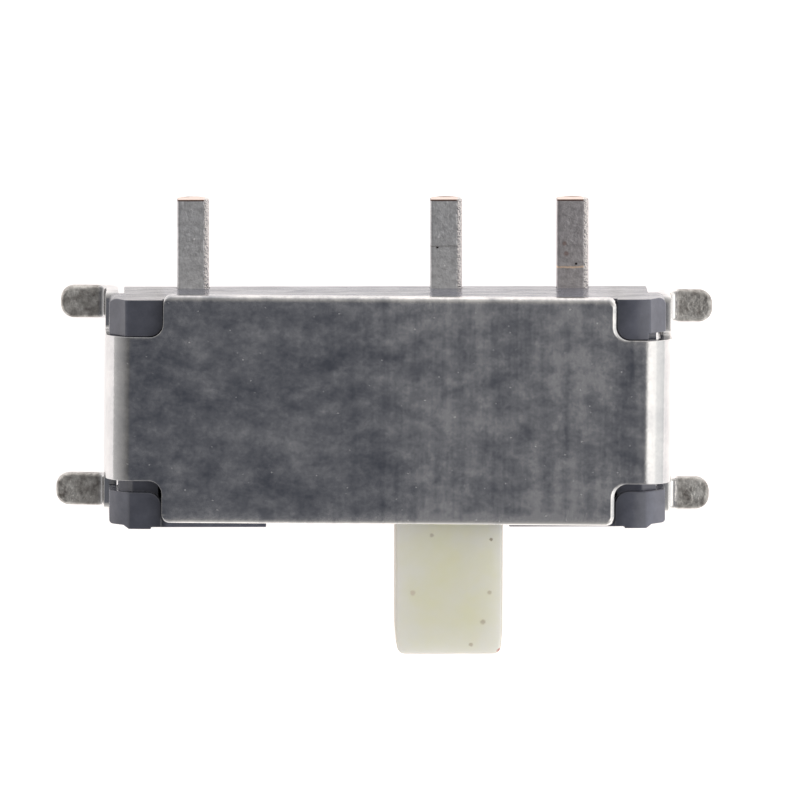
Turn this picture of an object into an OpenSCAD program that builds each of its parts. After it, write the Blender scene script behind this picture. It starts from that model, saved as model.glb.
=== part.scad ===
// Side-operated miniature slide switch for surface mounting: one pole, two positions.
// Millimetres. +X to the right, +Y to the terminals, +Z up from the board.
// The origin is the middle of the housing's underside, which is the seating plane.
// The knob is drawn at its right-hand stop.

/* [Body] */
// Length of the body over the end flaps of the cover
body_l = 6.7; // [6.6:0.1:9]
// Depth of the moulded housing, front wall to back wall
body_w = 2.7; // [2.5:0.1:4]
// Height from the board to the top of the cover
body_h = 1.4; // [1.3:0.05:2]
// Thickness of the housing's front and back walls
wall_t = 0.33; // [0.25:0.01:0.4]

/* [Corner posts] */
// How far the tops of the posts lie below the top of the cover
post_drop = 0.05; // [0:0.01:0.1]
// How far the front posts stand out past the front wall
post_proud = 0.025; // [0.01:0.005:0.05]
// Length along X of each front post's proud face
post_face_l = 0.49; // [0.4:0.01:0.6]
// Gap between a post and the cover's notch, nearest along Y and before the turn along X
post_gap = 0.02; // [0.02:0.01:0.05]
// How far the shoulders stay inside the outer face of the flaps
shoulder_inset = 0.06; // [0.02:0.01:0.08]
// Run along X from a shoulder's outer end to the top of its post
lead_in_run = 0.19; // [0.16:0.01:0.3]
// How much further the front posts' lead-ins run
front_lead_in = 0.045; // [0:0.005:0.06]
// Fall along Z from the top of a post to its shoulder's outer end
lead_in_fall = 0.25; // [0.2:0.01:0.5]
// Run along X of the shelf, the flatter part of the shoulder outside the steep lead-in
shelf_run = 0.11; // [0.05:0.01:0.15]
// Fall along Z across the shelf
shelf_fall = 0.12; // [0.02:0.01:0.18]
// Radius of the upright outer edges of the shoulders
shoulder_r = 0.09; // [0.04:0.01:0.15]

/* [Cover] */
// Thickness of the cover's sheet
sheet_t = 0.15; // [0.1:0.01:0.2]
// How far the cover sits back from the housing's middle, towards the terminals
cover_shift = 0.035; // [0:0.005:0.05]
// How far the cover is turned on its posts, in degrees, clockwise seen from above
cover_turn = 0.5; // [0:0.1:0.6]
// How much deeper the cover's top plate is than the housing
plate_extra = 0.005; // [0:0.005:0.05]
// Outer radius of the bends between the top plate and the flaps
bend_r = 0.33; // [0.2:0.01:0.4]
// Width along Y of each end flap
flap_w = 1.71; // [1.3:0.01:2]
// Height of the flap's lower edge above the bends of its feet
flap_lift = 0.03; // [0.01:0.01:0.1]
// Length along X of each corner notch
notch_l = 0.67; // [0.5:0.01:0.9]
// Radius inside each corner notch
notch_r = 0.16; // [0.05:0.01:0.2]
// Play between the flap and the housing's end
seat_gap = 0.02; // [0.01:0.01:0.05]

/* [Solder feet] */
// Width along Y of each foot
foot_w = 0.38; // [0.3:0.01:0.5]
// Distance along Y between the middles of the two feet of a flap
foot_pitch = 2.24; // [1.9:0.01:2.4]
// How far each foot stands out past its flap
foot_out = 0.545; // [0.4:0.005:0.8]
// Radius of the hollow side of the bend into the foot
foot_bend_r = 0.1; // [0.05:0.01:0.15]
// Radius of the foot's outer corners
foot_corner_r = 0.16; // [0.05:0.01:0.18]
// Height of the top of the arms that hook under the shoulders
arm_top = 0.6; // [0.5:0.01:0.7]
// Play between the arms and the housing, beside them and above them
arm_gap = 0.1; // [0.03:0.01:0.12]
// Play between the arms and the shoulders that they hook under
snap_gap = 0.03; // [0.01:0.01:0.05]

/* [Terminals] */
// Distance between the left and the middle terminal
pitch_wide = 3; // [2.5:0.1:3.5]
// Distance between the middle and the right terminal
pitch_narrow = 1.5; // [1.3:0.1:2]
// How far the three terminals sit to the left of their true places
terminal_shift = 0.03; // [0:0.01:0.05]
// Width of each terminal strip
terminal_w = 0.38; // [0.3:0.01:0.5]
// Thickness of each terminal strip
terminal_t = 0.2; // [0.15:0.01:0.25]
// How far the terminals stand out past the back wall
terminal_out = 1.08; // [0.5:0.01:2]
// How far each strip steps up inside the housing
joggle = 0.17; // [0.1:0.01:0.25]
// Depth in the back wall, from its outer face, at which the step begins
joggle_in = 0.15; // [0.1:0.01:0.2]
// Length along Y of the sloping part of the step
joggle_run = 0.2; // [0.15:0.01:0.3]
// Length along X of each outer contact pad
pad_l = 0.5; // [0.4:0.01:0.6]
// Width along Y of the contact pads
pad_w = 0.8; // [0.5:0.01:1]
// How far the pads stand above the cavity floor
pad_proud = 0.02; // [0:0.01:0.04]

/* [Slider] */
// How far the slider travels from stop to stop
travel = 1.5; // [1.2:0.1:2]
// Width of the knob
knob_w = 1.27; // [1:0.01:1.6]
// Thickness of the knob
knob_t = 0.75; // [0.5:0.01:0.8]
// How far the knob stands out past the front wall
knob_out = 1.55; // [0.8:0.01:3]
// Radius of the knob's upright corners at its tip
knob_corner_r = 0.12; // [0.05:0.01:0.3]
// Gap between the knob and the cover above it
knob_drop = 0.1; // [0.03:0.01:0.2]
// Gap around the knob in the front wall's slot
slot_gap = 0.05; // [0.03:0.01:0.1]
// Running gap around the carriage
run_gap = 0.02; // [0.01:0.005:0.04]
// Gap left at each stop
stop_gap = 0.01; // [0:0.005:0.02]
// Thickness of the carriage's two end walls
carriage_end_t = 0.25; // [0.15:0.01:0.3]

/* [Moving contact] */
// Thickness of the contact strip
contact_t = 0.08; // [0.05:0.01:0.1]
// Width of the contact strip
contact_w = 0.6; // [0.4:0.01:0.8]
// Half the length of the flat middle of the strip
contact_mid = 0.45; // [0.3:0.01:0.6]
// How far the arms slope down from the middle to the dimples
arm_drop = 0.3; // [0.15:0.01:0.35]
// Length of the turned-up tip past each dimple
tip_l = 0.15; // [0.12:0.01:0.2]
// Rise of the turned-up tip
tip_rise = 0.05; // [0:0.01:0.1]
// Radius of the round dimples
dimple_r = 0.12; // [0.08:0.01:0.14]
// How far the dimples stand out below the arms
dimple_h = 0.08; // [0.04:0.01:0.1]
// Width of the split that divides each arm in two
split_w = 0.1; // [0.05:0.01:0.15]
// Distance from the middle at which each split begins
split_from = 0.75; // [0.6:0.05:0.9]
// Gap between the dimples and the pads, where the sprung arms press in use
contact_gap = 0.01; // [0.005:0.005:0.02]
// Radius of the rivet that holds the strip
rivet_r = 0.14; // [0.1:0.01:0.18]
// Length of the rivet below the strip
rivet_head = 0.06; // [0.03:0.01:0.08]
// Gap around the strip in its pocket, and half of it around the rivet
pocket_gap = 0.05; // [0.03:0.01:0.08]

/* [Detent and locating pegs] */
// Radius of the two rounded detent ridges
ridge_r = 0.12; // [0.08:0.01:0.2]
// How far the ridges stand above the pads
ridge_h = 0.03; // [0.01:0.01:0.05]
// Radius of the locating pegs
peg_r = 0.375; // [0.3:0.005:0.4]
// Length of the locating pegs below the seating plane
peg_l = 0.45; // [0.3:0.05:0.8]
// Distance between the two pegs
peg_pitch = 3; // [2.6:0.1:3.4]
// Size of the lead-in chamfer on each peg
peg_chamfer = 0.08; // [0.03:0.01:0.1]

/* [Hidden] */
$fn = 64;
// Overrun of a cutter past the face that it opens
over = 1;
// Overlap by which the pieces of one moulding run into each other
weld = 0.02;

// Terminals and contact pads
outer_x = (pitch_wide + pitch_narrow) / 2;
common_x = pitch_wide - outer_x;
pad_top = joggle + terminal_t;
floor_z = pad_top - pad_proud;
terminal_tip_y = body_w / 2 + terminal_out;
step_y = body_w / 2 - joggle_in;
step_angle = atan(joggle / joggle_run);
step_shift = terminal_t * tan(step_angle / 2);

// The dimples sit this far from the slider's middle, so that they stop on the pads
reach = outer_x - travel / 2;
common_left = reach - travel / 2 + pad_l / 2;
common_right = max(common_left, common_x + terminal_w / 2);

// Housing
rim_z = body_h - sheet_t;
post_top = body_h - post_drop;
cavity_w = body_w - 2 * wall_t;
end_x = body_l / 2 - sheet_t - arm_gap;
seat_x = body_l / 2 - sheet_t - seat_gap;
shoulder_x = body_l / 2 - shoulder_inset;
lead_in_x = shoulder_x - lead_in_run;
shelf_z = post_top - lead_in_fall;
shoulder_z = arm_top + snap_gap;
post_y = flap_w / 2 + cover_shift + body_l / 2 * sin(cover_turn) + post_gap;
post_x = body_l / 2 - notch_l + post_gap;
post_face_x = shoulder_x - post_face_l;

// The cover's inner bend radius, which the housing's end edge is chamfered to clear, turned as it is
inner_bend_r = bend_r - sheet_t;
rim_chamfer = inner_bend_r - seat_gap + flap_w / 2 * sin(cover_turn);
// Height at which the bends into the feet begin
foot_z = foot_bend_r + sheet_t;

// Slider: the carriage holds the strip in a pocket, and the cavity gives it its travel
pocket_l = 2 * (reach + tip_l + pocket_gap);
carriage_l = pocket_l + 2 * carriage_end_t;
cavity_l = carriage_l + travel + 2 * stop_gap;
carriage_w = cavity_w - 2 * run_gap;
carriage_z = pad_top + ridge_h + run_gap;
carriage_top = rim_z - run_gap;
knob_top = rim_z - knob_drop;
knob_z = knob_top - knob_t;
knob_tip_y = -body_w / 2 - knob_out;
slot_l = knob_w + travel + 2 * slot_gap;
slot_z = knob_z - slot_gap;
slider_x = travel / 2;

// Moving contact, from the dimples up
dimple_z = pad_top + contact_gap;
dimple_root = contact_t * 3 / 4;
arm_z = dimple_z + dimple_h;
pocket_z = arm_z + arm_drop + contact_t;

// Extrudes a section drawn in X and Z along Y, from y0 to y1
module along_y(y0, y1)
    translate([0, y1, 0])
        rotate([90, 0, 0])
            linear_extrude(y1 - y0)
                children();

// Extrudes a section drawn in Y and Z along X, as wide as w and centred on x
module along_x(x, w)
    translate([x - w / 2, 0, 0])
        rotate([90, 0, 90])
            linear_extrude(w)
                children();

// A copy on the left of what is drawn on the right
module both_ends() {
    children();
    mirror([1, 0, 0])
        children();
}

// A rectangle from x0, y0 to x1, y1 with every corner rounded
module rounded(x0, y0, x1, y1, r) {
    translate([x0 + r, y0])
        square([x1 - x0 - 2 * r, y1 - y0]);
    translate([x0, y0 + r])
        square([x1 - x0, y1 - y0 - 2 * r]);
    for (x = [x0 + r, x1 - r], y = [y0 + r, y1 - r])
        translate([x, y])
            circle(r);
}

// Section of a quarter bend of inner radius r about x, z: side is 1 for the quarter up and to
// the right of the centre, and -1 for the quarter down and to the left
module bend_section(x, z, r, side)
    translate([x, z])
        intersection() {
            difference() {
                circle(r + sheet_t);
                circle(r);
            }
            translate(side > 0 ? [0, 0] : [-body_l, -body_l])
                square(body_l);
        }

// ---- Housing ----

// Front view of the tray between the posts, where the flaps lie against its ends
module tray_section()
    both_ends()
        polygon([[0, 0], [seat_x, 0], [seat_x, rim_z - rim_chamfer],
                 [seat_x - rim_chamfer, rim_z], [0, rim_z]]);

// Front view of a post: an overhanging shoulder with a sloping shelf and a lead-in, above a low end
module post_section(further)
    polygon([[0, 0], [end_x, 0], [end_x, shoulder_z], [shoulder_x, shoulder_z],
             [shoulder_x, shelf_z], [shoulder_x - shelf_run, shelf_z + shelf_fall],
             [lead_in_x - further, post_top], [0, post_top]]);

// Plan of a back post: its inner edge is rounded to clear the corner of the cover's notch
module post_plan()
    rounded(post_x, post_y, body_l, body_w, notch_r);

// The tray block, before its cavity is cut: its full depth reaches a little way into the posts
module tray() {
    along_y(-post_y - weld, post_y + weld)
        tray_section();
    translate([-post_x - notch_r, -body_w / 2, 0])
        cube([2 * (post_x + notch_r), body_w, rim_z]);
}

// A post at the right-hand back corner, whose lead-in runs further by the given length
module post(further)
    intersection() {
        along_y(0, body_w / 2)
            post_section(further);
        linear_extrude(body_h)
            post_plan();
    }

// The proud face of the right-hand front post
module post_face()
    intersection() {
        along_y(-body_w / 2 - post_proud, -body_w / 2 + weld)
            post_section(front_lead_in);
        translate([post_face_x, -body_w, 0])
            cube([body_l, body_w, body_h]);
    }

// Plan of the housing with its rounded upright edges, which trims the shoulders
module housing_plan()
    rounded(-shoulder_x, -body_w / 2 - post_proud, shoulder_x, body_w / 2, shoulder_r);

module locating_peg() {
    translate([0, 0, -peg_l + peg_chamfer])
        cylinder(r = peg_r, h = peg_l - peg_chamfer + weld);
    translate([0, 0, -peg_l])
        cylinder(r1 = peg_r - peg_chamfer, r2 = peg_r, h = peg_chamfer);
}

// A rounded ridge across the floor, half way along the path of a dimple
module detent_ridge()
    along_y(-pad_w / 2, pad_w / 2)
        translate([0, pad_top + ridge_h - ridge_r])
            circle(ridge_r);

module housing() color([0.13, 0.13, 0.15]) {
    difference() {
        union() {
            intersection() {
                union() {
                    tray();
                    both_ends() {
                        post(0);
                        mirror([0, 1, 0])
                            post(front_lead_in);
                        post_face();
                    }
                }
                linear_extrude(body_h)
                    housing_plan();
            }
            for (side = [-1, 1])
                translate([side * peg_pitch / 2, 0, 0])
                    locating_peg();
        }
        // The cavity, open at the top
        translate([-cavity_l / 2, -cavity_w / 2, floor_z])
            cube([cavity_l, cavity_w, body_h]);
        // The slot in the front wall that the knob slides in
        translate([-slot_l / 2, -carriage_w / 2 + run_gap - over - wall_t, slot_z])
            cube([slot_l, over + wall_t, body_h]);
        terminal_left_shape();
        terminal_common_shape();
        terminal_right_shape();
    }
    for (side = [-1, 1])
        translate([side * reach, 0, 0])
            detent_ridge();
}

// ---- Cover ----

// End view of the whole folded sheet: top plate, flaps and feet
module sheet_section()
    both_ends() {
        translate([0, rim_z])
            square([body_l / 2 - bend_r, sheet_t]);
        bend_section(body_l / 2 - bend_r, body_h - bend_r, inner_bend_r, 1);
        translate([body_l / 2 - sheet_t, foot_z])
            square([sheet_t, body_h - bend_r - foot_z]);
        bend_section(body_l / 2 + foot_bend_r, foot_z, foot_bend_r, -1);
        translate([body_l / 2 + foot_bend_r, 0])
            square([foot_out - foot_bend_r, sheet_t]);
    }

// Plan of the notch at the right-hand back corner
module notch_plan()
    rounded(body_l / 2 - notch_l, flap_w / 2, body_l, body_w, notch_r);

// Plan of the right-hand back foot
module foot_plan()
    translate([0, foot_pitch / 2])
        rounded(0, -foot_w / 2, body_l / 2 + foot_out, foot_w / 2, foot_corner_r);

// What is cut away at one end of the cover, below the flap's lower edge: all but the two feet
module around_feet()
    difference() {
        translate([body_l / 4, -body_w])
            square([body_l, 2 * body_w]);
        foot_plan();
        mirror([0, 1])
            foot_plan();
    }

// The cover, before it is shifted and turned
module folded_sheet()
    difference() {
        along_y(-(body_w + plate_extra) / 2, (body_w + plate_extra) / 2)
            sheet_section();
        both_ends() {
            translate([0, 0, -over])
                linear_extrude(over + foot_z + flap_lift)
                    around_feet();
            for (side = [0, 1])
                mirror([0, side, 0]) {
                    translate([0, 0, arm_top])
                        linear_extrude(body_h)
                            notch_plan();
                    // The end of the arm, level with the outer side of its foot
                    translate([body_l / 4, (foot_pitch + foot_w) / 2, -over])
                        cube([body_l, body_w, over + arm_top + weld]);
                }
        }
    }

module cover() color([0.72, 0.71, 0.7])
    translate([0, cover_shift, 0])
        rotate([0, 0, -cover_turn])
            folded_sheet();

// ---- Terminals ----

// Side view of a strip: outside on the board, a step up in the wall, and a raised inner end
module strip_section(inner_y)
    polygon([[terminal_tip_y, 0], [step_y, 0], [step_y - joggle_run, joggle],
             [inner_y, joggle], [inner_y, pad_top],
             [step_y - joggle_run + step_shift, pad_top], [step_y + step_shift, terminal_t],
             [terminal_tip_y, terminal_t]]);

// A terminal strip whose true place is x, with a pad from pad_x0 to pad_x1 at its inner end
module terminal(x, pad_x0, pad_x1)
    translate([-terminal_shift, 0, 0]) {
        along_x(x, terminal_w)
            strip_section(0);
        translate([pad_x0, -pad_w / 2, joggle])
            cube([pad_x1 - pad_x0, pad_w, terminal_t]);
    }

module terminal_left_shape()
    terminal(-outer_x, -outer_x - pad_l / 2, -outer_x + pad_l / 2);

module terminal_common_shape()
    terminal(common_x, -common_left, common_right);

module terminal_right_shape()
    terminal(outer_x, outer_x - pad_l / 2, outer_x + pad_l / 2);

module terminal_left() color([0.6, 0.6, 0.59])
    terminal_left_shape();

module terminal_common() color([0.6, 0.6, 0.59])
    terminal_common_shape();

module terminal_right() color([0.6, 0.6, 0.59])
    terminal_right_shape();

// ---- Slider ----

module slider() color([0.86, 0.84, 0.76])
    translate([slider_x, 0, 0]) {
        difference() {
            union() {
                translate([-carriage_l / 2, -carriage_w / 2, carriage_z])
                    cube([carriage_l, carriage_w, carriage_top - carriage_z]);
                translate([0, 0, knob_z])
                    linear_extrude(knob_t)
                        knob_plan();
            }
            // The pocket for the contact strip, open at the bottom
            translate([-pocket_l / 2, -contact_w / 2 - pocket_gap, -over])
                cube([pocket_l, contact_w + 2 * pocket_gap, over + pocket_z]);
        }
        translate([0, 0, pocket_z - contact_t - rivet_head])
            cylinder(r = rivet_r, h = contact_t + rivet_head + weld);
    }

// Plan of the knob, from inside the carriage's front face to its rounded tip
module knob_plan()
    difference() {
        rounded(-knob_w / 2, knob_tip_y, knob_w / 2, 0, knob_corner_r);
        translate([-knob_w, -carriage_w / 2 + weld])
            square([2 * knob_w, body_w]);
    }

// ---- Moving contact ----

// Front view of the strip: flat middle, two arms down to the dimples, turned-up tips
module contact_section() {
    mid_z = pocket_z - contact_t;
    tip_x = reach + tip_l;
    both_ends()
        polygon([[0, mid_z], [contact_mid, mid_z], [reach, arm_z], [tip_x, arm_z + tip_rise],
                 [tip_x, arm_z + tip_rise + contact_t], [reach, arm_z + contact_t],
                 [contact_mid, pocket_z], [0, pocket_z]]);
}

// The lower half of a ball, which stands out below the arm and ends inside it
module dimple()
    intersection() {
        translate([0, 0, dimple_r])
            sphere(dimple_r);
        translate([-dimple_r, -dimple_r, 0])
            cube([2 * dimple_r, 2 * dimple_r, dimple_h + dimple_root]);
    }

module moving_contact() color([0.8, 0.72, 0.5])
    translate([slider_x, 0, 0]) {
        difference() {
            along_y(-contact_w / 2, contact_w / 2)
                contact_section();
            cylinder(r = rivet_r + pocket_gap / 2, h = body_h);
            for (side = [-1, 1])
                translate([side * (split_from + body_l / 2), 0, body_h / 2])
                    cube([body_l, split_w, body_h], center = true);
        }
        for (side = [-1, 1], half = [-1, 1])
            translate([side * reach, half * (contact_w + split_w) / 4, dimple_z])
                dimple();
    }

housing();
cover();
slider();
moving_contact();
terminal_left();
terminal_common();
terminal_right();
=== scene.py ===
"""A side-operated slide switch: the finishes and fine shapes of its pieces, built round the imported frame.

Shapes are worked out in millimetres, and a mesh turns to metres when it becomes a piece. +X runs to the
right, +Y to the terminals and +Z up from the board. The origin is the middle of the seating plane.
"""

import logging
import math
from contextlib import contextmanager
from dataclasses import dataclass
from enum import Enum
from typing import Any, Iterator, Sequence

import bmesh
import bpy
import numpy as np
from mathutils import Matrix, Vector


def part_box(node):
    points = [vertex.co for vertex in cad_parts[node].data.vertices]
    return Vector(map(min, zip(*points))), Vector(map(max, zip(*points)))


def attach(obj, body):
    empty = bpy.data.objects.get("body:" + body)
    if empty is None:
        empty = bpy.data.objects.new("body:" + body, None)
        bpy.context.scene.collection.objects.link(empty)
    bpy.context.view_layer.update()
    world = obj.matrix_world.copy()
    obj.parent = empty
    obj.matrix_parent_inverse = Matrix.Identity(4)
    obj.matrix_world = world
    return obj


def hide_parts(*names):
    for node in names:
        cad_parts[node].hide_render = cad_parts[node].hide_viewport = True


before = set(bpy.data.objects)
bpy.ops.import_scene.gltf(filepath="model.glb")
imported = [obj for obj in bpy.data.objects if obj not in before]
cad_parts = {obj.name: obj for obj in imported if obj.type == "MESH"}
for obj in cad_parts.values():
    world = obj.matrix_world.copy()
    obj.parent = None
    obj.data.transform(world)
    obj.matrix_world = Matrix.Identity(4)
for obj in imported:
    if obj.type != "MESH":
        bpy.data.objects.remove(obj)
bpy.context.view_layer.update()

LOG = logging.getLogger("slide_switch")

# One millimetre, in metres
MM = 0.001
# Points nearer than this are one point
WELD = 1e-5
# Angle of each step of a corner's arc, and steps round a whole circle
ARC_STEP = math.radians(7.5)
ROUND = 48
# How far a support point stands from the place that it keeps flat
SUPPORT = 0.012
# The reach of a point that never shrinks to nothing
FAR = 1e3
# Edges below the first angle are flat, and those from the second on are sharp
FLAT = math.radians(0.6)
SHARP = math.radians(35)
# How strongly a larger face pulls the normals, out of 100
PULL = 80
# The range that noise seldom leaves
SPREAD = (0.3, 0.7)
HALF_TURN = 180.0

# Sockets of the Mix node, which share their names
FACTOR, NUMBER_A, NUMBER_B, COLOUR_A, COLOUR_B, COLOUR_OUT = 0, 2, 3, 6, 7, 2


class Axis(Enum):
    """The axis along which a flat outline is drawn out into a solid."""

    X = (1, 2, 0)
    Y = (0, 2, 1)
    Z = (0, 1, 2)


def node_box(node: str) -> tuple[np.ndarray, np.ndarray]:
    """Lowest and highest corner of a CAD node.

    Args:
        node: the node's name.

    Returns:
        The two corners, in millimetres.
    """
    low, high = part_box(node)
    return np.array(low) / MM, np.array(high) / MM


# ---- Outlines ----


@dataclass(frozen=True)
class Path:
    """A closed outline that runs anticlockwise round the material, as whole arrays.

    Attributes:
        points: the outline's points, n by 2.
        inward: the unit normal at each point, towards the material.
        reach: the radius of an outer corner at each of its points, and FAR elsewhere.
        mitre: the way in which a corner moves once it has been inset by more than its radius.
    """

    points: np.ndarray
    inward: np.ndarray
    reach: np.ndarray
    mitre: np.ndarray

    def inset(self, depth: float | np.ndarray) -> np.ndarray:
        """The outline moved inwards. A round outer corner shrinks to a point and then follows its mitre.

        Args:
            depth: how far the outline moves, everywhere or at each point.

        Returns:
            The moved points, n by 2.
        """
        round_part = np.minimum(depth, self.reach)[:, None]
        sharp_part = np.maximum(depth - self.reach, 0.0)[:, None]
        return self.points + self.inward * round_part + self.mitre * sharp_part

    def divided(self, longest: float) -> "Path":
        """The same outline with its long sides divided evenly.

        Args:
            longest: the longest side that is left whole.

        Returns:
            The outline.
        """
        closed = np.vstack([self.points, self.points[:1]])
        sides = np.linalg.norm(np.diff(closed, axis=0), axis=1)
        parts = np.maximum(1, np.ceil(sides / longest)).astype(int)
        start = np.repeat(np.arange(len(sides)), parts)
        first = np.repeat(np.cumsum(parts) - parts, parts)
        share = ((np.arange(parts.sum()) - first) / parts[start])[:, None]
        table = np.column_stack([self.points, self.inward, self.reach, self.mitre])
        mixed = table[start] * (1 - share) + np.roll(table, -1, axis=0)[start] * share
        return Path(mixed[:, :2], mixed[:, 2:4], mixed[:, 4], mixed[:, 5:])


def rounded_path(corners: Sequence[tuple[float, float, float]], deepest: float = 0.0) -> Path:
    """Joins corners with straight sides and rounds each one with an arc.

    An arc's points are its centre less (or plus, at a hollow corner) the radius times the inward normal,
    which turns evenly from one side's normal to the next. A support point stands on each side close to the
    arc, or past the place that the corner shrinks to when the outline is inset.

    Args:
        corners: x, y and radius of each corner, anticlockwise.
        deepest: how far the outline will be inset at most.

    Returns:
        The outline.
    """
    places = np.array([c[:2] for c in corners])
    points, inward, reach, mitre = [], [], [], []
    for i, (x, y, radius) in enumerate(corners):
        came = places[i] - places[i - 1]
        goes = places[(i + 1) % len(corners)] - places[i]
        came, goes = came / np.linalg.norm(came), goes / np.linalg.norm(goes)
        start = math.atan2(came[1], came[0])
        turn = math.atan2(came[0] * goes[1] - came[1] * goes[0], came @ goes)
        steps = max(3, round(abs(turn) / ARC_STEP)) if radius > 0 else 0
        way = start + turn * np.linspace(0, 1, steps + 1) if steps else np.array([start + turn / 2])
        normals = np.stack([-np.sin(way), np.cos(way)], axis=1)
        middle = (goes - came) / np.linalg.norm(goes - came)
        centre = places[i] + middle * radius / math.cos(turn / 2)
        corner_mitre = np.sign(turn) * middle / math.cos(turn / 2)
        shrunk = max(radius, deepest) if turn > 0 else radius
        tangent = shrunk * math.tan(abs(turn) / 2) + SUPPORT
        arc = centre - np.sign(turn) * radius * normals
        first = np.array([-came[1], came[0]])
        last = np.array([-goes[1], goes[0]])
        points += [places[i] - came * tangent, arc, places[i] + goes * tangent]
        inward += [first, normals, last]
        limit = radius if turn > 0 or steps == 0 else FAR
        reach += [[FAR], np.full(len(arc), limit), [FAR]]
        mitre += [first, np.tile(corner_mitre, (len(arc), 1)), last]
    return Path(np.vstack(points), np.vstack(inward), np.concatenate(reach), np.vstack(mitre))


def circle(x: float, y: float, radius: float) -> Path:
    """A circle.

    Args:
        x: its centre.
        y: its centre.
        radius: its radius.

    Returns:
        The outline.
    """
    turn = np.arange(ROUND) * (2 * math.pi / ROUND)
    outward = np.stack([np.cos(turn), np.sin(turn)], axis=1)
    return Path(np.array([x, y]) + radius * outward, -outward, np.full(ROUND, radius), np.zeros((ROUND, 2)))


# ---- Solids ----


def placed(name: str, data: Any) -> bpy.types.Object:
    """Puts an object into the scene.

    Args:
        name: its name.
        data: its mesh or camera.

    Returns:
        The object.
    """
    made = bpy.data.objects.new(name, data)
    bpy.context.scene.collection.objects.link(made)
    return made


@contextmanager
def editing(mesh: bpy.types.Mesh) -> Iterator[bmesh.types.BMesh]:
    """Opens a mesh for editing, and writes it back.

    Args:
        mesh: the mesh.

    Yields:
        Its faces, edges and points.
    """
    bm = bmesh.new()
    bm.from_mesh(mesh)
    yield bm
    bm.to_mesh(mesh)
    bm.free()


def evaluated_mesh(holder: bpy.types.Object) -> bpy.types.Mesh:
    """The mesh of an object with its modifiers applied.

    Args:
        holder: the object.

    Returns:
        A new mesh.
    """
    bpy.context.view_layer.update()
    graph = bpy.context.evaluated_depsgraph_get()
    return bpy.data.meshes.new_from_object(holder.evaluated_get(graph), depsgraph=graph)


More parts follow.
